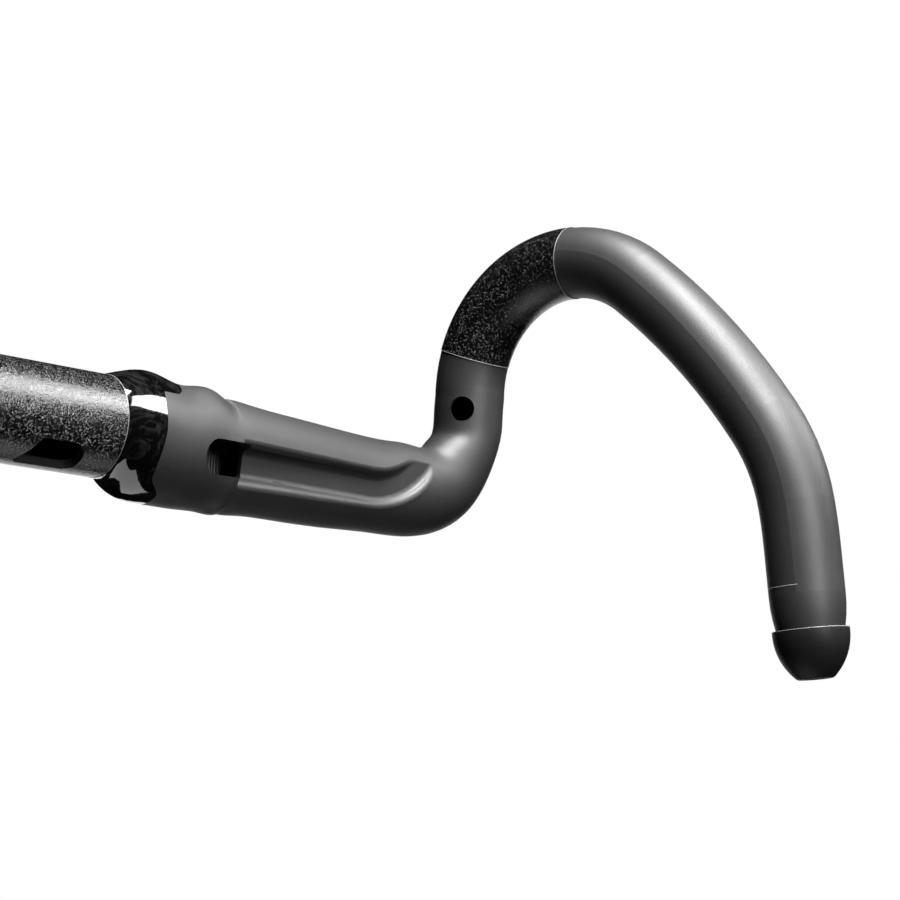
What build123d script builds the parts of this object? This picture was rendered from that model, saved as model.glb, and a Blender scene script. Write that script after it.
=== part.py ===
"""Carbon drop handlebar: moulded centre section, two bonded drop sections, grip films and expander end plugs.

Origin: centre of the stem clamp. X runs across the bar, +X is the rider's left. Front is -Y, up is +Z.
Everything is made for the left half and mirrored about YZ for the right half.
"""

import os
from math import cos, radians, sin

from build123d import *

# --- Stem clamp -------------------------------------------------------------
CLAMP_RADIUS = 15.9  # outside of the grip film
GRIP_FILM = 0.2  # grit film thickness
CLAMP_HALF = 47.8  # half length of the round clamp zone
CLAMP_WALL = 3.0
CLAMP_CORE_RADIUS = CLAMP_RADIUS - GRIP_FILM

# --- Hose slots in the clamp, one each side of the stem ----------------------
SLOT_CENTRE_X = 25.4
SLOT_LENGTH = 21.6
SLOT_WIDTH = 12.0
SLOT_SLANT = 6.0  # the inboard end is cut at a slant
SLOT_CORNER = 5.0
SLOT_SLANT_CORNER = 1.8
SLOT_ANGLE = 50.0  # from straight down towards the rear

# --- Shaped tops: station x, centre y, centre z, half chord, half height -----
SEAM_X = 94.0  # the drop sections are bonded to the centre section here
CENTRE_STATIONS = [
    (CLAMP_HALF, 0.0, 0.0, 16.0, 16.0),
    (51.0, -0.2, 0.0, 17.0, 16.2),
    (55.0, 0.7, 0.0, 19.1, 16.3),
    (59.0, 1.1, 0.1, 20.3, 16.0),
    (66.0, 1.6, 0.2, 20.2, 15.2),
    (80.0, 2.15, 0.6, 19.6, 13.8),
    (90.0, 2.95, 0.9, 18.9, 13.1),
    (SEAM_X, 3.15, 0.9, 18.5, 12.8),
]
TOP_STATIONS = [
    (SEAM_X, 3.0, 0.9, 18.3, 12.6),
    (102.0, 3.1, 1.1, 17.9, 12.5),
    (118.0, 3.5, 1.7, 17.2, 12.2),
    (140.0, 4.0, 2.5, 16.5, 12.0),
    (160.0, 4.0, 3.3, 15.8, 11.9),
]
# Corner between top and ramp: heading turned from +X towards the front, x, y, z, half chord
BEND_STATIONS = [
    (18.0, 175.7, 3.2, 4.0, 16.1),
    (42.0, 190.6, -1.8, 4.5, 14.0),
    (68.0, 197.0, -11.1, 4.9, 12.6),
]
RAMP_BLEND = 13.5  # the loft runs this far up the straight ramp, where the swept hook takes over
RAMP_SECTIONS = 4
WALL = 2.4

# --- Hook: lies in one plane through the ramp --------------------------------
TUBE_RADIUS = 12.0
FLARE = 12.0  # the drops lean outwards
TOE_IN = 3.3  # the ramps turn inwards
RAMP_START = (200.0, -20.8, 5.1)
RAMP_LENGTH = 14.5
HOOK_ARCS = [(43.0, 123.6), (230.0, 17.0), (68.0, 24.8), (172.0, 4.4)]  # radius, turn
DROP_STRAIGHT = 15.3  # full-size tube after the last bend
DROP_TAPER = 11.0  # the end narrows so that the bar tape sits flush with the plug
END_RADIUS = 10.8
BORE_RADIUS = TUBE_RADIUS - WALL

# --- Lever grip film ---------------------------------------------------------
GRIP_START = 25.1  # along the hook from the ramp's start
GRIP_END = 79.4

# --- Hose groove, port and lever port -----------------------------------------
GROOVE_Y = 4.2
GROOVE_DRIFT = 0.8  # the groove moves back this much on its way out
GROOVE_TURN_X = 150.0
GROOVE_END = (173.5, -9.5)
GROOVE_FLOOR_Z = -5.6
GROOVE_FLOOR = (-3.6, 4.6)  # front and rear edge of the flat floor, from the centreline
GROOVE_MOUTH = (-5.8, 9.0)  # front and rear edge of the mouth at GROOVE_MOUTH_Z
GROOVE_MOUTH_Z = -14.0
GROOVE_WALL = 2.0
GROOVE_CORNER = 2.4
GROOVE_RIM = 2.0  # rounding where the walls meet the underside
RIM_EDGE_MIN = 7.0  # the rim's edges are longer than this, the cutter's own corner edges shorter
PORT_INNER_X = 79.0
PORT_WIDTH = 11.2
PORT_TOP_Z = -4.1
PORT_OUTER_X = 98.0  # the port runs on past the seam, through the groove's floor
PORT_END_CORNER = 1.8
PORT_END_TOP_Z = -2.6
LEVER_PORT_RADIUS = 4.25
LEVER_PORT_ALONG = 6.0
LEVER_PORT_ANGLE = 53.0  # from straight down towards the inboard side

# --- Bond sleeve inside each seam ----------------------------------------------
SLEEVE_WALL = 1.2
SLEEVE_CUTAWAY = 7.0  # the gap under the sleeve is wider than the port by this much
BOND_GAP = 0.5

# --- End plug --------------------------------------------------------------------
PLUG_RIM_RADIUS = 12.1
PLUG_DOME_LENGTH = 15.5
PLUG_DOME_SHOULDER = (10.3, 9.2)  # radius and height of a point on the dome's arc
PLUG_FLAT_RADIUS = 5.6
PLUG_TIP_FILLET = 1.8
PLUG_MARGIN = 1.0  # cutters run this far past the faces they open
PLUG_SPIGOT_RADIUS = 9.2
PLUG_SPIGOT_LENGTH = 5.0
SCREW_RADIUS = 2.0
SCREW_HEAD_RADIUS = 3.5
SCREW_HEAD_HEIGHT = 4.0
SCREW_LENGTH = 40.0
SCREW_SOCKET = 3.0  # across flats
HEAD_SEAT = 9.0  # depth of the head's seat below the dome's tip
WASHER_HEIGHT = 0.8
WASHER_RADIUS = 8.4
EXPANDER_RADIUS = 9.3
EXPANDER_LENGTH = 12.0
WEDGE_LENGTH = 10.0
WEDGE_SMALL = 5.2
WEDGE_LARGE = 8.2
WEDGE_SEAT = 1.4  # the ring's cone is wider than the wedge by this much
WEDGE_ENTRY = 1.0  # the wedge reaches this far into the ring
NUT_FLATS = 7.0
NUT_HEIGHT = 3.2
RUNNING_GAP = 0.15
THREAD_GAP = 0.05


def unit(vector):
    return Vector(*vector).normalized()


# The ramp's heading, and the way the hook turns, both in the hook's plane.
RAMP_HEADING = unit((-sin(radians(TOE_IN)), -cos(radians(TOE_IN)), 0))
OUT_AND_DOWN = Vector(sin(radians(FLARE)), 0, -cos(radians(FLARE)))
HOOK_PLANE = Plane(
    origin=RAMP_START, x_dir=RAMP_HEADING, z_dir=RAMP_HEADING.cross(OUT_AND_DOWN)
)


def hook_path(start):
    """The hook's centreline from that far along the ramp to the end taper."""
    edges = []
    with BuildLine(HOOK_PLANE) as line:
        edges.append(Line((start, 0), (RAMP_LENGTH, 0)))
        for radius, turn in HOOK_ARCS:
            edges.append(JernArc(edges[-1] @ 1, edges[-1] % 1, radius, turn))
        edges.append(Line(edges[-1] @ 1, edges[-1] @ 1 + (edges[-1] % 1) * DROP_STRAIGHT))
    return line.wire()


HOOK = hook_path(0)
DROP_AXIS = HOOK % 1
DROP_END = HOOK @ 1 + DROP_AXIS * DROP_TAPER
# Local frame of the tube's open end: Z points out of the bar.
END_PLANE = Plane(origin=DROP_END, z_dir=DROP_AXIS, x_dir=HOOK_PLANE.z_dir)
# Half section through the end: X is the radius, Y runs out of the bar.
TUBE_END_PROFILE = Plane(origin=DROP_END, x_dir=END_PLANE.x_dir, z_dir=-END_PLANE.y_dir)


def across(x, y, z):
    """A plane across the tops at x: local X runs along +Y and local Y along +Z."""
    return Plane(origin=(x, y, z), x_dir=(0, 1, 0), z_dir=(1, 0, 0))


def level_plane(origin, along):
    """A section plane facing along a level heading, with local Y straight up."""
    return Plane(origin=origin, x_dir=Vector(0, 0, 1).cross(along), z_dir=along)


def ellipse_loft(stations, inset):
    """Ellipses across the tops, lofted. Stations are (x, y, z, half chord, half height)."""
    with BuildPart() as body:
        for x, y, z, chord, height in stations:
            with BuildSketch(across(x, y, z)):
                Ellipse(chord - inset, height - inset)
        loft()
    return body.part


def top_and_bend(inset):
    """The top from the seam, round the corner, to the start of the ramp."""
    with BuildPart() as body:
        for x, y, z, chord, height in TOP_STATIONS:
            with BuildSketch(across(x, y, z)):
                Ellipse(chord - inset, height - inset)
        for turn, x, y, z, chord in BEND_STATIONS:
            heading = Vector(cos(radians(turn)), -sin(radians(turn)), 0)
            with BuildSketch(level_plane((x, y, z), heading)):
                Ellipse(chord - inset, TUBE_RADIUS - inset)
        for i in range(RAMP_SECTIONS):
            along = RAMP_HEADING * (RAMP_BLEND * i / (RAMP_SECTIONS - 1))
            with BuildSketch(level_plane(Vector(*RAMP_START) + along, RAMP_HEADING)):
                Circle(TUBE_RADIUS - inset)
        loft()
    return body.part


def hook_tube(radius):
    path = hook_path(RAMP_BLEND)
    with BuildPart() as tube:
        with BuildSketch(Plane(origin=path @ 0, z_dir=path % 0)):
            Circle(radius)
        sweep(path=path)
    return tube.part


def groove_cutter(margin):
    """The hose groove's flat-floored channel, grown by margin; it runs out of the body at its outer end."""
    start = (SEAM_X - 1 - margin, GROOVE_Y, 0)
    floor_z = GROOVE_FLOOR_Z + margin
    floor_front, floor_rear = GROOVE_FLOOR
    mouth_front, mouth_rear = GROOVE_MOUTH
    with BuildLine() as route:
        run = Line(start, (GROOVE_TURN_X, GROOVE_Y + GROOVE_DRIFT, 0))
        TangentArc(run @ 1, (*GROOVE_END, 0), tangent=run % 1)
    with BuildPart() as cutter:
        with BuildSketch(Plane(origin=start, x_dir=(0, 1, 0), z_dir=(1, 0, 0))) as profile:
            with BuildLine():
                Polyline(
                    (floor_front - margin, floor_z),
                    (floor_rear + margin, floor_z),
                    (mouth_rear + margin, GROOVE_MOUTH_Z),
                    (mouth_front - margin, GROOVE_MOUTH_Z),
                    close=True,
                )
            make_face()
            fillet(profile.vertices().group_by(Axis.Z)[-1], GROOVE_CORNER + margin / 2)
        sweep(path=route.wire())
    return cutter.part


def port_cutter():
    """The opening at the groove's inner end, through the centre section's underside."""
    length = SEAM_X + PORT_WIDTH / 2 - PORT_INNER_X
    with BuildPart() as cutter:
        with BuildSketch(Plane.XY.offset(-CLAMP_RADIUS)):
            with Locations((PORT_INNER_X + length / 2, GROOVE_Y)):
                SlotOverall(length, PORT_WIDTH)
        extrude(amount=CLAMP_RADIUS + PORT_TOP_Z)
    return cutter.part


def port_end_cutter():
    """The port's outer end, past the seam, through the floor of the groove."""
    length = PORT_OUTER_X - SEAM_X
    with BuildPart() as cutter:
        with BuildSketch(Plane.XY.offset(-CLAMP_RADIUS)) as outline:
            with Locations((SEAM_X, GROOVE_Y)):
                Rectangle(2 * length, PORT_WIDTH)
            fillet(outline.vertices().group_by(Axis.X)[-1], PORT_END_CORNER)
        extrude(amount=CLAMP_RADIUS + PORT_END_TOP_Z)
    return cutter.part


def grooved_skin():
    """The top and bend as a solid, with the groove sunk in its underside and the groove's rim rounded."""
    with BuildPart() as skin:
        add(top_and_bend(0))
        add(groove_cutter(0), mode=Mode.SUBTRACT)
        rim = skin.edges(Select.LAST).filter_by(GeomType.BSPLINE)
        rim = rim.filter_by(lambda edge: edge.length > RIM_EDGE_MIN and edge.center().X > SEAM_X + 1)
        fillet(rim, GROOVE_RIM)
    return skin.part


def both_sides(part, name):
    """Writes a left piece and its mirror image as two nodes."""
    write(part, name + "_left")
    write(mirror(part, about=Plane.YZ), name + "_right")


def write(part, name):
    part.label = name
    export_step(part, f"parts/{name}.step")


def clamp_slot_plane():
    angle = radians(SLOT_ANGLE)
    outward = Vector(0, sin(angle), -cos(angle))
    return Plane(origin=(SLOT_CENTRE_X, 0, 0), x_dir=(1, 0, 0), z_dir=outward)


def slot_cutter():
    """Both clamp slots, cut radially from the axis outwards."""
    with BuildPart() as cutter:
        with BuildSketch(clamp_slot_plane()) as outline:
            with BuildLine():
                Polyline(
                    (-SLOT_LENGTH / 2, -SLOT_WIDTH / 2),
                    (SLOT_LENGTH / 2, -SLOT_WIDTH / 2),
                    (SLOT_LENGTH / 2, SLOT_WIDTH / 2),
                    (SLOT_SLANT - SLOT_LENGTH / 2, SLOT_WIDTH / 2),
                    close=True,
                )
            make_face()
            fillet(outline.vertices().group_by(Axis.X)[-1], SLOT_CORNER)
            fillet(outline.vertices().group_by(Axis.X)[0], SLOT_SLANT_CORNER)
        extrude(amount=2 * CLAMP_RADIUS)
        mirror(about=Plane.YZ)
    return cutter.part


def make_centre_section():
    """Round clamp tube that swells into the shaped tops on both sides, one hollow moulding."""
    shoulder = ellipse_loft(CENTRE_STATIONS, 0)
    cavity = ellipse_loft(CENTRE_STATIONS, CLAMP_WALL)
    with BuildPart() as section:
        with BuildSketch(Plane.YZ.offset(-CLAMP_HALF)):
            Circle(CLAMP_CORE_RADIUS)
        extrude(amount=2 * CLAMP_HALF)
        add(shoulder)
        add(mirror(shoulder, about=Plane.YZ))
        with BuildSketch(Plane.YZ.offset(-CLAMP_HALF)):
            Circle(CLAMP_CORE_RADIUS - CLAMP_WALL)
        extrude(amount=2 * CLAMP_HALF, mode=Mode.SUBTRACT)
        add(cavity, mode=Mode.SUBTRACT)
        add(mirror(cavity, about=Plane.YZ), mode=Mode.SUBTRACT)
        add(slot_cutter(), mode=Mode.SUBTRACT)
        port = port_cutter()
        add(port, mode=Mode.SUBTRACT)
        add(mirror(port, about=Plane.YZ), mode=Mode.SUBTRACT)
    write(section.part, "centre_section")


def make_clamp_grip():
    """Grit film round the clamp, with the slots cut through it."""
    with BuildPart() as film:
        with BuildSketch(Plane.YZ.offset(-CLAMP_HALF)):
            Circle(CLAMP_RADIUS)
            Circle(CLAMP_CORE_RADIUS, mode=Mode.SUBTRACT)
        extrude(amount=2 * CLAMP_HALF)
        add(slot_cutter(), mode=Mode.SUBTRACT)
    write(film.part, "clamp_grip")


def make_drop_sections():
    """Top, ramp, hook and drop in one hollow tube, with the hose groove and the lever port."""
    angle = radians(LEVER_PORT_ANGLE)
    port_axis = Vector(-sin(angle), 0, -cos(angle))
    port_centre = Vector(*RAMP_START) + RAMP_HEADING * LEVER_PORT_ALONG
    inner = top_and_bend(WALL) - groove_cutter(GROOVE_WALL)
    with BuildPart() as section:
        add(grooved_skin())
        add(hook_tube(TUBE_RADIUS))
        with BuildSketch(TUBE_END_PROFILE):
            with BuildLine():
                Line((0, -DROP_TAPER), (TUBE_RADIUS, -DROP_TAPER))
                TangentArc((TUBE_RADIUS, -DROP_TAPER), (END_RADIUS, 0), tangent=(0, 1))
                Polyline((END_RADIUS, 0), (0, 0), (0, -DROP_TAPER))
            make_face()
        revolve(axis=Axis(DROP_END, DROP_AXIS))
        add(inner, mode=Mode.SUBTRACT)
        add(hook_tube(BORE_RADIUS), mode=Mode.SUBTRACT)
        add(port_end_cutter(), mode=Mode.SUBTRACT)
        with BuildSketch(Plane(origin=HOOK @ 1, z_dir=DROP_AXIS)):
            Circle(BORE_RADIUS)
        extrude(amount=DROP_TAPER, mode=Mode.SUBTRACT)
        with BuildSketch(Plane(origin=port_centre, z_dir=port_axis)):
            Circle(LEVER_PORT_RADIUS)
        extrude(amount=2 * TUBE_RADIUS, mode=Mode.SUBTRACT)
    both_sides(section.part, "drop_section")


def make_bond_sleeves():
    """Thin sleeve that joins the two mouldings across the seam, cut away below for the hose."""
    gap = CLAMP_WALL + BOND_GAP
    stations = CENTRE_STATIONS[-2:] + [TOP_STATIONS[1]]
    outside = ellipse_loft(stations, gap)
    inside = ellipse_loft(stations, gap + SLEEVE_WALL)
    with BuildPart() as sleeve:
        add(outside)
        add(inside, mode=Mode.SUBTRACT)
        with BuildSketch(Plane.XY.offset(-CLAMP_RADIUS)):
            with Locations((SEAM_X, GROOVE_Y)):
                Rectangle(2 * CLAMP_RADIUS, PORT_WIDTH + SLEEVE_CUTAWAY)
        extrude(amount=CLAMP_RADIUS, mode=Mode.SUBTRACT)
    both_sides(sleeve.part, "bond_sleeve")


def make_lever_grips():
    """Grit film on the hook where the brake lever clamps."""
    start, end = GRIP_START / HOOK.length, GRIP_END / HOOK.length
    path = HOOK.trim(start, end)
    with BuildPart() as film:
        with BuildSketch(Plane(origin=path @ 0, z_dir=path % 0)):
            Circle(TUBE_RADIUS + GRIP_FILM)
            Circle(TUBE_RADIUS, mode=Mode.SUBTRACT)
        sweep(path=path)
    both_sides(film.part, "lever_grip")


def on_end(depth):
    """A plane across the bar's end, depth into the tube (negative is outside)."""
    return END_PLANE.offset(-depth)


def make_plug():
    """Expander plug: domed cap and its screw, thrust washer, rubber expander, wedge and its nut."""
    tip = PLUG_DOME_LENGTH
    seat = tip - HEAD_SEAT
    with BuildPart() as cap:
        with BuildSketch(TUBE_END_PROFILE) as dome_profile:
            with BuildLine():
                dome = ThreePointArc((PLUG_RIM_RADIUS, 0), PLUG_DOME_SHOULDER, (PLUG_FLAT_RADIUS, tip))
                Polyline(dome @ 1, (0, tip), (0, 0), dome @ 0)
            make_face()
            tip_corner = dome_profile.vertices().group_by(Axis.Y)[-1].sort_by(Axis.X)[-1]
            fillet(tip_corner, PLUG_TIP_FILLET)
        revolve(axis=Axis(DROP_END, DROP_AXIS))
        with BuildSketch(on_end(PLUG_SPIGOT_LENGTH)):
            Circle(PLUG_SPIGOT_RADIUS)
        extrude(amount=PLUG_SPIGOT_LENGTH)
        with BuildSketch(on_end(-seat)):
            Circle(SCREW_HEAD_RADIUS + RUNNING_GAP)
        extrude(amount=HEAD_SEAT + PLUG_MARGIN, mode=Mode.SUBTRACT)
        with BuildSketch(on_end(PLUG_SPIGOT_LENGTH + PLUG_MARGIN)):
            Circle(SCREW_RADIUS + RUNNING_GAP)
        extrude(amount=PLUG_SPIGOT_LENGTH + seat + 2 * PLUG_MARGIN, mode=Mode.SUBTRACT)
    both_sides(cap.part, "plug_cap")

    expander_start = PLUG_SPIGOT_LENGTH + WASHER_HEIGHT
    expander_end = expander_start + EXPANDER_LENGTH
    with BuildPart() as washer:
        with BuildSketch(on_end(expander_start)):
            Circle(WASHER_RADIUS)
            Circle(SCREW_RADIUS + RUNNING_GAP, mode=Mode.SUBTRACT)
        extrude(amount=WASHER_HEIGHT)
    both_sides(washer.part, "plug_washer")

    with BuildPart() as screw:
        with BuildSketch(on_end(-seat)):
            Circle(SCREW_HEAD_RADIUS)
        extrude(amount=SCREW_HEAD_HEIGHT)
        with BuildSketch(on_end(-seat)):
            Circle(SCREW_RADIUS)
        extrude(amount=-SCREW_LENGTH)
        with BuildSketch(on_end(-seat - SCREW_HEAD_HEIGHT)):
            RegularPolygon(SCREW_SOCKET / 2, 6, major_radius=False)
        extrude(amount=-SCREW_SOCKET, mode=Mode.SUBTRACT)
    both_sides(screw.part, "plug_screw")

    with BuildPart() as expander:
        with BuildSketch(on_end(expander_start)):
            Circle(EXPANDER_RADIUS)
        extrude(amount=-EXPANDER_LENGTH)
        with BuildSketch(on_end(expander_start)):
            Circle(SCREW_RADIUS + 2 * RUNNING_GAP)
        with BuildSketch(on_end(expander_end)):
            Circle(WEDGE_SMALL + WEDGE_SEAT)
        loft(mode=Mode.SUBTRACT)
    both_sides(expander.part, "plug_expander")

    wedge_start = expander_end - WEDGE_ENTRY
    with BuildPart() as wedge:
        with BuildSketch(on_end(wedge_start)):
            Circle(WEDGE_SMALL)
        with BuildSketch(on_end(wedge_start + WEDGE_LENGTH)):
            Circle(WEDGE_LARGE)
        loft()
        with BuildSketch(on_end(wedge_start - PLUG_MARGIN)):
            Circle(SCREW_RADIUS + RUNNING_GAP)
        extrude(amount=-(WEDGE_LENGTH + 2 * PLUG_MARGIN), mode=Mode.SUBTRACT)
        with BuildSketch(on_end(wedge_start + WEDGE_LENGTH)):
            RegularPolygon(NUT_FLATS / 2 + RUNNING_GAP, 6, major_radius=False)
        extrude(amount=NUT_HEIGHT, mode=Mode.SUBTRACT)
    both_sides(wedge.part, "plug_wedge")

    with BuildPart() as nut:
        with BuildSketch(on_end(wedge_start + WEDGE_LENGTH)):
            RegularPolygon(NUT_FLATS / 2, 6, major_radius=False)
            Circle(SCREW_RADIUS + THREAD_GAP, mode=Mode.SUBTRACT)
        extrude(amount=NUT_HEIGHT)
    both_sides(nut.part, "plug_nut")


os.makedirs("parts", exist_ok=True)
make_centre_section()
make_clamp_grip()
make_drop_sections()
make_bond_sleeves()
make_lever_grips()
make_plug()
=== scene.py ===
from math import cos, pi, radians, sin

import bpy
from mathutils import Matrix, Vector


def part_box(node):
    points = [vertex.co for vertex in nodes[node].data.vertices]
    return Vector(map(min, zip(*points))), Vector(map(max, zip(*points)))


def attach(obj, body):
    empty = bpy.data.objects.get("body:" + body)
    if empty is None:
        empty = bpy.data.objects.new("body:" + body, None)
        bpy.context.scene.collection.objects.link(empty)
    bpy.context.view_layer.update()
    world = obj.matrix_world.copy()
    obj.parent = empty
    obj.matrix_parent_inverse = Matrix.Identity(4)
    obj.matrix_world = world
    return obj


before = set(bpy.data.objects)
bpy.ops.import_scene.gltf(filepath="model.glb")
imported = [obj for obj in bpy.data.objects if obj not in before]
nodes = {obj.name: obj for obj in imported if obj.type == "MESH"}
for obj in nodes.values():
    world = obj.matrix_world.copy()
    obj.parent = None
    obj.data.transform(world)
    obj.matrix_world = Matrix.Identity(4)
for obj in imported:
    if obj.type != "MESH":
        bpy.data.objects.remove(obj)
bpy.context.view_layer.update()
SIDES = {"left": 1, "right": -1}

# --- Camera ------------------------------------------------------------------
# Seen from below, inboard and slightly behind the left half of the bar.
VIEW_RIGHT = Vector((0.746414, -0.107374, -0.656762))
VIEW_DOWN = Vector((0.137886, 0.990434, -0.005218))
VIEW_FORWARD = Vector((0.651040, -0.086663, 0.754080))
CAMERA_PLACE = Vector((-0.340793, 0.058251, -0.613225))
CAMERA_LENS = 94.9
SUBJECT = Vector((0.14, -0.01, -0.035))  # what the lights point at


def add_camera():
    camera = bpy.data.objects.new("camera", bpy.data.cameras.new("camera"))
    bpy.context.collection.objects.link(camera)
    camera.data.lens = CAMERA_LENS
    camera.data.sensor_width = 36.0
    camera.data.clip_start = 0.01
    turn = Matrix((VIEW_RIGHT, -VIEW_DOWN, -VIEW_FORWARD)).transposed()
    camera.matrix_world = Matrix.Translation(CAMERA_PLACE) @ turn.to_4x4()
    bpy.context.scene.camera = camera


# --- Node helpers --------------------------------------------------------------
def new_material(name):
    material = bpy.data.materials.new(name)
    material.use_nodes = True
    tree = material.node_tree
    shader = next(n for n in tree.nodes if n.type == "BSDF_PRINCIPLED")
    return material, tree, shader


def math(tree, operation, a, b=None):
    node = tree.nodes.new("ShaderNodeMath")
    node.operation = operation
    for socket, value in zip(node.inputs, (a, b)):
        if value is None:
            continue
        if hasattr(value, "is_output"):
            tree.links.new(value, socket)
        else:
            socket.default_value = value
    return node.outputs[0]


def ramp_between(tree, value, low, high):
    """0 below low, 1 above high, smooth between; the other way round when low is above high."""
    node = tree.nodes.new("ShaderNodeMapRange")
    node.interpolation_type = "SMOOTHSTEP"
    tree.links.new(value, node.inputs["Value"])
    node.inputs["From Min"].default_value = min(low, high)
    node.inputs["From Max"].default_value = max(low, high)
    node.inputs["To Min"].default_value = 0.0 if low < high else 1.0
    node.inputs["To Max"].default_value = 1.0 if low < high else 0.0
    return node.outputs[0]


def remap(tree, value, low, high, to_low, to_high):
    node = tree.nodes.new("ShaderNodeMapRange")
    tree.links.new(value, node.inputs["Value"])
    node.inputs["From Min"].default_value = low
    node.inputs["From Max"].default_value = high
    node.inputs["To Min"].default_value = to_low
    node.inputs["To Max"].default_value = to_high
    return node.outputs[0]


def place(tree):
    """Object coordinates, and their x, y and z."""
    coords = tree.nodes.new("ShaderNodeTexCoord").outputs["Object"]
    split = tree.nodes.new("ShaderNodeSeparateXYZ")
    tree.links.new(coords, split.inputs[0])
    return coords, split.outputs


def noise(tree, coords, scale, detail=2.0, roughness=0.5, distortion=0.0):
    node = tree.nodes.new("ShaderNodeTexNoise")
    tree.links.new(coords, node.inputs["Vector"])
    node.inputs["Scale"].default_value = scale
    node.inputs["Detail"].default_value = detail
    node.inputs["Roughness"].default_value = roughness
    node.inputs["Distortion"].default_value = distortion
    return node.outputs["Fac"]


def voronoi(tree, coords, scale, output="Distance"):
    node = tree.nodes.new("ShaderNodeTexVoronoi")
    tree.links.new(coords, node.inputs["Vector"])
    node.inputs["Scale"].default_value = scale
    return node.outputs[output]


def mix_value(tree, factor, a, b):
    node = tree.nodes.new("ShaderNodeMix")
    node.data_type = "FLOAT"
    for socket, value in zip((node.inputs[0], node.inputs[2], node.inputs[3]), (factor, a, b)):
        if hasattr(value, "is_output"):
            tree.links.new(value, socket)
        else:
            socket.default_value = value
    return node.outputs[0]


def grey_mix(tree, factor, a, b):
    """A colour between grey levels a and b."""
    node = tree.nodes.new("ShaderNodeMix")
    node.data_type = "RGBA"
    tree.links.new(factor, node.inputs[0])
    node.inputs[6].default_value = (a, a, a, 1)
    node.inputs[7].default_value = (b, b, b, 1)
    return node.outputs[2]


def bump(tree, height, distance, strength=1.0, normal=None):
    node = tree.nodes.new("ShaderNodeBump")
    node.inputs["Strength"].default_value = strength
    node.inputs["Distance"].default_value = distance
    tree.links.new(height, node.inputs["Height"])
    if normal is not None:
        tree.links.new(normal, node.inputs["Normal"])
    return node.outputs[0]


# --- Materials -------------------------------------------------------------------
GLOSS_START = 0.0462  # the glossy collar, along the bar from the centre
GLOSS_END = 0.0628
TONGUE_END = 0.0715  # a glossy tongue runs out along the front face
TONGUE_Y = -0.0172
TONGUE_HALF_WIDTH = 0.0044
EDGE_WANDER = 0.0010  # the collar's edge isn't quite straight
REAR_FLARE = (0.0135, 0.0195, 0.0058)  # from y, to y, and how far the collar grows there
WAIST = (-0.002, 0.0135, -0.0026)
EDGE_BLUR = 0.0001
CAVITY_CENTRE = (0.0026, 0.0007)  # y and z of the hollow round the port
CAVITY_HALF = (0.0178, 0.0118)
CAVITY_START = 0.070
CAVITY_END = 0.0938
RIB_PITCH = 0.0011


def gloss_mask(tree, coords, xyz):
    """1 on the glossy collar and its tongue, 0 on the satin tops."""
    along = math(tree, "ABSOLUTE", xyz[0])
    wander = remap(tree, noise(tree, coords, 45.0, 1.0), 0.3, 0.7, -EDGE_WANDER, EDGE_WANDER)
    shifts = []
    for low, high, shift in (REAR_FLARE, WAIST):
        shifts.append(math(tree, "MULTIPLY", ramp_between(tree, xyz[1], low, high), shift))
    edge = math(tree, "ADD", math(tree, "ADD", wander, math(tree, "ADD", *shifts)), GLOSS_END)
    collar = ramp_between(tree, math(tree, "SUBTRACT", along, edge), EDGE_BLUR, -EDGE_BLUR)
    start = ramp_between(tree, along, GLOSS_START - EDGE_BLUR, GLOSS_START)
    collar = math(tree, "MULTIPLY", collar, start)
    # The tongue's round end comes from the distance to the centre of that end.
    past = math(tree, "MAXIMUM", math(tree, "SUBTRACT", along, TONGUE_END - 0.004), 0.0)
    side = math(tree, "SUBTRACT", xyz[1], TONGUE_Y)
    near = math(tree, "ADD", math(tree, "POWER", past, 2.0), math(tree, "POWER", side, 2.0))
    near = math(tree, "SQRT", near)
    tongue = ramp_between(tree, near, TONGUE_HALF_WIDTH + EDGE_BLUR, TONGUE_HALF_WIDTH - EDGE_BLUR)
    return math(tree, "MAXIMUM", collar, math(tree, "MULTIPLY", tongue, start))


def inside_mask(tree, xyz):
    """1 on the walls of the hollow round the groove's port."""
    terms = []
    for value, centre, half in zip((xyz[1], xyz[2]), CAVITY_CENTRE, CAVITY_HALF):
        offset = math(tree, "DIVIDE", math(tree, "SUBTRACT", value, centre), half)
        terms.append(math(tree, "MULTIPLY", offset, offset))
    radius = math(tree, "ADD", terms[0], terms[1])
    along = math(tree, "ABSOLUTE", xyz[0])
    start = ramp_between(tree, along, CAVITY_START, CAVITY_START + 0.002)
    end = ramp_between(tree, along, CAVITY_END, CAVITY_END - 0.0002)
    near = math(tree, "MULTIPLY", start, end)
    return math(tree, "MULTIPLY", ramp_between(tree, radius, 1.02, 0.98), near)


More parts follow.
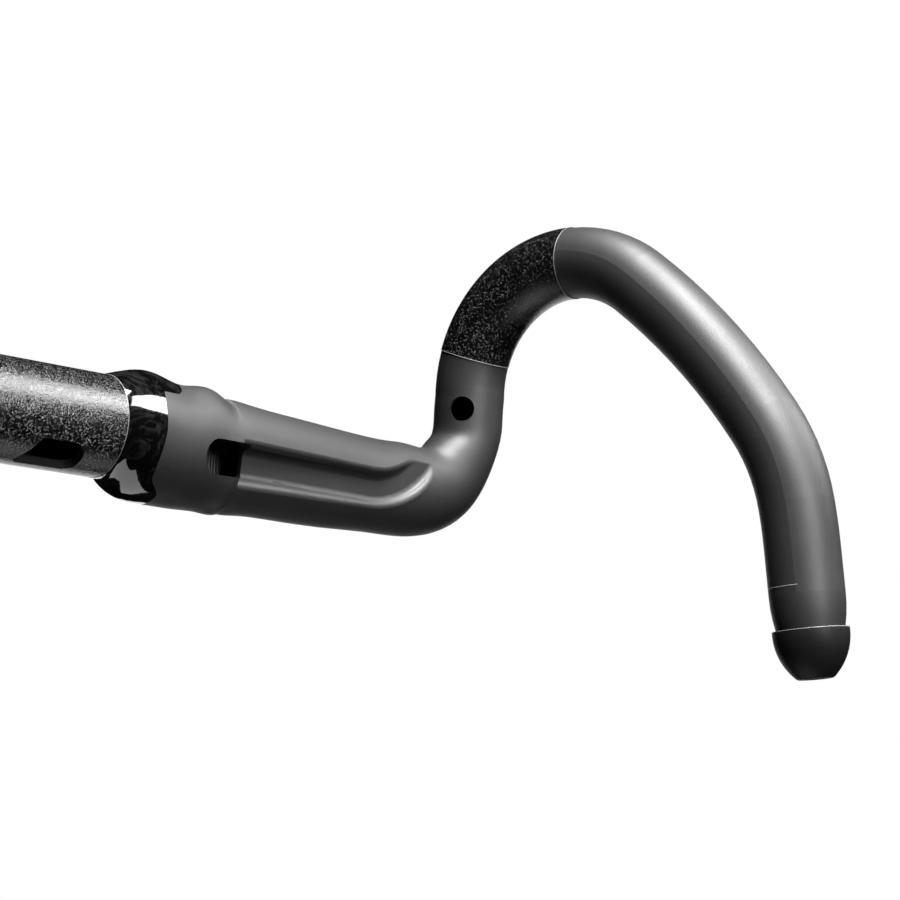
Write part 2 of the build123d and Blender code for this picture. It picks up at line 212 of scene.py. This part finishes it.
def carbon_shell():
    """Satin clear coat over carbon fibre, glossy with a marbled look on the collars."""
    material, tree, shader = new_material("carbon_shell")
    coords, xyz = place(tree)
    gloss = gloss_mask(tree, coords, xyz)
    inside = inside_mask(tree, xyz)
    grain = noise(tree, coords, 2600.0, 3.0, 0.6)
    cloud = noise(tree, coords, 60.0, 3.0, 0.6)
    marble = noise(tree, coords, 95.0, 5.0, 0.65, 2.2)
    satin = remap(tree, cloud, 0.3, 0.7, 0.49, 0.55)
    satin = math(tree, "ADD", satin, remap(tree, grain, 0.3, 0.7, -0.05, 0.05))
    shine = remap(tree, marble, 0.35, 0.65, 0.05, 0.10)
    tree.links.new(mix_value(tree, gloss, satin, shine), shader.inputs["Roughness"])
    base = tree.nodes.new("ShaderNodeMix")
    base.data_type = "RGBA"
    tree.links.new(gloss, base.inputs[0])
    tree.links.new(grey_mix(tree, grain, 0.005, 0.012), base.inputs[6])
    veins = ramp_between(tree, marble, 0.45, 0.62)
    tree.links.new(grey_mix(tree, veins, 0.001, 0.008), base.inputs[7])
    hollow = tree.nodes.new("ShaderNodeMix")
    hollow.data_type = "RGBA"
    tree.links.new(inside, hollow.inputs[0])
    tree.links.new(base.outputs[2], hollow.inputs[6])
    hollow.inputs[7].default_value = (0.05, 0.05, 0.05, 1)
    tree.links.new(hollow.outputs[2], shader.inputs["Base Color"])
    tree.links.new(gloss, shader.inputs["Coat Weight"])
    shader.inputs["Coat Roughness"].default_value = 0.04
    ribs = math(tree, "SINE", math(tree, "MULTIPLY", xyz[0], 2 * pi / RIB_PITCH))
    ribs = math(tree, "MULTIPLY", ribs, inside)
    orange_peel = math(tree, "MULTIPLY", marble, math(tree, "MULTIPLY", gloss, 0.15))
    fine = math(tree, "MULTIPLY", grain, mix_value(tree, gloss, 0.30, 0.0))
    height = math(tree, "ADD", math(tree, "ADD", ribs, orange_peel), fine)
    tree.links.new(bump(tree, height, 0.00012), shader.inputs["Normal"])
    return material


GRAIN_RELIEF = 0.32  # relief as a share of the grain's size
GRAIN_FINE_RELIEF = 0.03
MOULDED_SPECULAR = 0.15


def grit(name, grain_size, sparkle, dark, light, specular):
    """Coarse grit bonded in black resin: some grains stand proud, are paler and catch the light."""
    material, tree, shader = new_material(name)
    coords, _ = place(tree)
    scale = 1.0 / grain_size
    grains = voronoi(tree, coords, scale)
    tint = voronoi(tree, coords, scale, "Color")
    split = tree.nodes.new("ShaderNodeSeparateColor")
    tree.links.new(tint, split.inputs[0])
    picked = ramp_between(tree, split.outputs[0], 1.0 - sparkle, 1.0)
    patches = noise(tree, coords, scale / 9.0, 2.0)
    paleness = math(tree, "MULTIPLY", picked, patches)
    tree.links.new(grey_mix(tree, paleness, dark, light), shader.inputs["Base Color"])
    tree.links.new(remap(tree, split.outputs[1], 0.0, 1.0, 0.10, 0.26), shader.inputs["Roughness"])
    shader.inputs["Specular IOR Level"].default_value = specular
    proud = math(tree, "MULTIPLY", split.outputs[2], picked)
    height = math(tree, "SUBTRACT", proud, math(tree, "MULTIPLY", grains, 0.5))
    rough = bump(tree, height, grain_size * GRAIN_RELIEF)
    fine = noise(tree, coords, scale * 2.3, 2.0)
    fine_bump = bump(tree, fine, grain_size * GRAIN_FINE_RELIEF, 0.8, rough)
    tree.links.new(fine_bump, shader.inputs["Normal"])
    return material


def moulded(name, level, roughness, texture_size, depth):
    """Fine moulded texture on plastic or rubber, slightly uneven in shade."""
    material, tree, shader = new_material(name)
    coords, _ = place(tree)
    pits = noise(tree, coords, 1.0 / texture_size, 3.0, 0.6)
    cloud = noise(tree, coords, 90.0, 3.0)
    tree.links.new(grey_mix(tree, cloud, level * 0.75, level * 1.3), shader.inputs["Base Color"])
    uneven = remap(tree, cloud, 0.3, 0.7, roughness - 0.05, roughness + 0.05)
    tree.links.new(uneven, shader.inputs["Roughness"])
    tree.links.new(bump(tree, pits, depth), shader.inputs["Normal"])
    shader.inputs["Specular IOR Level"].default_value = MOULDED_SPECULAR
    return material


def black_steel():
    """Turned, black-oxided steel with light wear."""
    material, tree, shader = new_material("black_steel")
    coords, _ = place(tree)
    wear = noise(tree, coords, 900.0, 4.0, 0.7)
    bright = ramp_between(tree, wear, 0.55, 0.75)
    tree.links.new(grey_mix(tree, bright, 0.05, 0.22), shader.inputs["Base Color"])
    tree.links.new(remap(tree, wear, 0.3, 0.7, 0.28, 0.42), shader.inputs["Roughness"])
    shader.inputs["Metallic"].default_value = 1.0
    tree.links.new(bump(tree, wear, 0.00002), shader.inputs["Normal"])
    return material


def bare_carbon():
    """Unpainted moulded carbon inside the bar."""
    material, tree, shader = new_material("bare_carbon")
    coords, xyz = place(tree)
    plies = math(tree, "SINE", math(tree, "MULTIPLY", xyz[0], 2 * pi / RIB_PITCH))
    cloud = noise(tree, coords, 400.0, 3.0)
    tree.links.new(grey_mix(tree, cloud, 0.02, 0.06), shader.inputs["Base Color"])
    uneven = remap(tree, noise(tree, coords, 300.0), 0.3, 0.7, 0.4, 0.55)
    tree.links.new(uneven, shader.inputs["Roughness"])
    tree.links.new(bump(tree, plies, 0.0001), shader.inputs["Normal"])
    return material


def ink_and_edge_highlight():
    """Thin pale line: printed ink on the cut marks, a painted edge highlight on the rings at the grip, clamp
    and plug edges.
    """
    material, tree, shader = new_material("ink_and_edge_highlight")
    coords, _ = place(tree)
    ink_wear_and_highlight_patches = noise(tree, coords, 1500.0, 3.0, 0.6)
    tree.links.new(grey_mix(tree, ink_wear_and_highlight_patches, 0.11, 0.20), shader.inputs["Base Color"])
    tree.links.new(remap(tree, ink_wear_and_highlight_patches, 0.3, 0.7, 0.30, 0.42), shader.inputs["Roughness"])
    return material


def dress(node, material):
    """Gives a CAD node its material."""
    obj = nodes[node]
    obj.data.materials.clear()
    obj.data.materials.append(material)


# --- Printed cut marks and painted edge highlights on the tube -----------------------
TUBE_RADIUS = 0.012
RAMP_START = Vector((0.200, -0.0208, 0.0051))
FLARE = radians(12.0)
TOE_IN = radians(3.3)
RAMP_LENGTH = 0.0145
HOOK_ARCS = ((0.043, 123.6), (0.230, 17.0), (0.068, 24.8), (0.172, 4.4))
GRIP_START = 0.0251
GRIP_END = 0.0794
GRIP_FILM = 0.0002
CLAMP_RADIUS = 0.0159
PLUG_RIM_RADIUS = 0.0121
CUT_MARK_ALONG = 0.2310
CUT_MARK_START = radians(165)
CUT_MARK_END = radians(238)
CUT_MARK_LIFT = 0.00003
DROP_END = Vector((0.232056, 0.037522, -0.129890))
DROP_AXIS = Vector((0.093353, 0.980448, -0.173227))
LINE_WIDTH = 0.00026
LINE_HEIGHT = 0.00004
LINE_STEPS = 72


def hook_point(along):
    """Point and heading on the left hook's centreline, that far along it from the ramp's start."""
    forward = Vector((-sin(TOE_IN), -cos(TOE_IN), 0))
    outward = Vector((sin(FLARE), 0, -cos(FLARE)))
    normal = forward.cross(outward).normalized()
    side = normal.cross(forward)
    step = min(along, RAMP_LENGTH)
    point = RAMP_START + forward * step
    left = along - step
    heading = 0.0
    for radius, turn in HOOK_ARCS:
        angle = min(left / radius, radians(turn))
        start = forward * cos(heading) + side * sin(heading)
        across = side * cos(heading) - forward * sin(heading)
        point += start * radius * sin(angle) + across * radius * (1 - cos(angle))
        heading += angle
        left -= angle * radius
    direction = forward * cos(heading) + side * sin(heading)
    return point + direction * left, direction, normal


def tube_line(name, centre, direction, zero, radius, start, end, sign, body="root"):
    """A thin pale line round a tube, from angle start to end, measured from the zero direction: printed ink
    for a cut mark, a painted edge highlight for the other rings.
    """
    quarter = direction.cross(zero)
    vertices = []
    for i in range(LINE_STEPS + 1):
        angle = start + (end - start) * i / LINE_STEPS
        out = zero * cos(angle) + quarter * sin(angle)
        for shift, lift in ((-0.5, 0.0), (-0.3, LINE_HEIGHT), (0.3, LINE_HEIGHT), (0.5, 0.0)):
            point = centre + out * (radius + lift) + direction * shift * LINE_WIDTH
            vertices.append((point.x * sign, point.y, point.z))
    faces = []
    for i in range(LINE_STEPS):
        for j in range(3):
            a = 4 * i + j
            corners = (a, a + 1, a + 5, a + 4)
            faces.append(corners if sign > 0 else corners[::-1])
    mesh = bpy.data.meshes.new(name)
    mesh.from_pydata(vertices, [], faces)
    mesh.update()
    for polygon in mesh.polygons:
        polygon.use_smooth = True
    obj = bpy.data.objects.new(name, mesh)
    bpy.context.collection.objects.link(obj)
    mesh.materials.append(pale)
    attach(obj, body)


def add_lines():
    """Pale rings at the ends of the grip patches and the clamp zone and at the plugs, which are painted edge
    highlights, and the drops' printed cut marks.
    """
    turn = (0, 2 * pi)
    for side, sign in SIDES.items():
        # painted edge highlight: a pale ring where each grip film's edge catches the light
        for end, along in (("front", GRIP_START), ("rear", GRIP_END)):
            place_at = hook_point(along)
            tube_line(f"grip_edge_highlight_{end}_{side}", *place_at, TUBE_RADIUS + GRIP_FILM, *turn, sign)
        place_at = hook_point(CUT_MARK_ALONG)
        mark_radius = TUBE_RADIUS + CUT_MARK_LIFT
        tube_line(f"cut_mark_{side}", *place_at, mark_radius, CUT_MARK_START, CUT_MARK_END, sign)
        # painted edge highlight: a pale ring at the plug's rim
        rim = DROP_END + DROP_AXIS * 0.0002
        around = (DROP_AXIS, place_at[2])
        tube_line(f"plug_rim_highlight_{side}", rim, *around, PLUG_RIM_RADIUS, *turn, sign, f"cap_{side}")
        # painted edge highlight: a pale ring at the end of the clamp's grit
        clamp_end = Vector((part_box("clamp_grip")[1].x, 0, 0))
        across = (Vector((1, 0, 0)), Vector((0, 1, 0)))
        tube_line(f"clamp_edge_highlight_{side}", clamp_end, *across, CLAMP_RADIUS, *turn, sign)


# --- Light, floor and background --------------------------------------------------------
FLOOR_Z = -2.6
FLOOR_HALF = 12.0
FLOOR_GLOW = 0.6  # keeps the floor pale where the lights don't reach
FILL_LEVEL = 0.004  # what the surroundings send to the bar


def from_view(right, up, near):
    """A world vector from one along the picture's right, up and towards the camera."""
    return VIEW_RIGHT * right - VIEW_DOWN * up - VIEW_FORWARD * near


def add_area(name, offset, long_axis, size, power):
    """A soft light at an offset from the subject; offset and long axis are right, up and near the camera."""
    light = bpy.data.lights.new(name, "AREA")
    light.shape = "RECTANGLE"
    light.size, light.size_y = size
    light.energy = power
    obj = bpy.data.objects.new(name, light)
    bpy.context.collection.objects.link(obj)
    obj.location = SUBJECT + from_view(*offset)
    back = (obj.location - SUBJECT).normalized()
    along = from_view(*long_axis)
    along = (along - back * along.dot(back)).normalized()
    obj.rotation_euler = Matrix((along, back.cross(along), back)).transposed().to_euler()


def add_studio():
    floor_mesh = bpy.data.meshes.new("floor")
    corners = [(-1, -1), (1, -1), (1, 1), (-1, 1)]
    corners = [(x * FLOOR_HALF, y * FLOOR_HALF, FLOOR_Z) for x, y in corners]
    floor_mesh.from_pydata(corners, [], [(0, 1, 2, 3)])
    floor = bpy.data.objects.new("floor", floor_mesh)
    bpy.context.collection.objects.link(floor)
    material, _, shader = new_material("pale_floor")
    shader.inputs["Base Color"].default_value = (0.85, 0.85, 0.85, 1)
    shader.inputs["Roughness"].default_value = 0.7
    shader.inputs["Emission Color"].default_value = (1, 1, 1, 1)
    shader.inputs["Emission Strength"].default_value = FLOOR_GLOW
    floor_mesh.materials.append(material)
    # The bar doesn't mirror the floor or take light from it.
    floor.visible_glossy = False
    floor.visible_diffuse = False
    world = bpy.data.worlds.new("studio")
    bpy.context.scene.world = world
    world.use_nodes = True
    tree = world.node_tree
    tree.nodes.clear()
    output = tree.nodes.new("ShaderNodeOutputWorld")
    mix = tree.nodes.new("ShaderNodeMixShader")
    rays = tree.nodes.new("ShaderNodeLightPath")
    fill = tree.nodes.new("ShaderNodeBackground")
    fill.inputs["Color"].default_value = (1, 1, 1, 1)
    fill.inputs["Strength"].default_value = FILL_LEVEL
    white = tree.nodes.new("ShaderNodeBackground")
    white.inputs["Color"].default_value = (1, 1, 1, 1)
    white.inputs["Strength"].default_value = 1.0
    tree.links.new(rays.outputs["Is Camera Ray"], mix.inputs[0])
    tree.links.new(fill.outputs[0], mix.inputs[1])
    tree.links.new(white.outputs[0], mix.inputs[2])
    tree.links.new(mix.outputs[0], output.inputs["Surface"])
    bpy.context.scene.view_settings.view_transform = "Standard"
    add_area("key_strip", (0.22, 0.98, 0.30), (0, 0, 1), (0.80, 0.40), 68.0)
    add_area("side_soft", (0.46, 0.22, 0.54), (1, 0, 0), (0.30, 0.30), 5.4)
    add_area("band_strip", (0.70, 0.54, -0.09), (0.27, -0.64, -0.72), (0.70, 0.34), 11.0)
    add_area("low_fill", (-0.2, -0.5, 1.2), (1, 0, 0), (0.60, 0.60), 0.3)
    add_area("back_soft", (-0.15, -1.2, 0.05), (1, 0, 0), (1.00, 1.00), 4.5)
    add_area("top_soft", (0.0, -0.35, -1.3), (1, 0, 0), (1.00, 1.00), 4.0)


add_camera()
shell = carbon_shell()
clamp_grit = grit("clamp_grit", 0.00040, 0.40, 0.002, 0.10, 1.0)
lever_grit = grit("lever_grit", 0.00040, 0.30, 0.001, 0.04, 0.4)
plug_black = moulded("plug_black", 0.005, 0.50, 0.0006, 0.00003)
rubber = moulded("expander_rubber", 0.015, 0.62, 0.0008, 0.00004)
nylon = moulded("wedge_nylon", 0.09, 0.45, 0.0007, 0.00003)
steel = black_steel()
bare = bare_carbon()
# pale grey: printed ink on the cut marks, painted edge highlights on the other rings
pale = ink_and_edge_highlight()
dress("centre_section", shell)
dress("clamp_grip", clamp_grit)
for side in SIDES:
    for piece, material in (
        ("drop_section", shell),
        ("bond_sleeve", bare),
        ("lever_grip", lever_grit),
        ("plug_cap", plug_black),
        ("plug_washer", steel),
        ("plug_screw", steel),
        ("plug_expander", rubber),
        ("plug_wedge", nylon),
        ("plug_nut", steel),
    ):
        dress(f"{piece}_{side}", material)
add_lines()
add_studio()
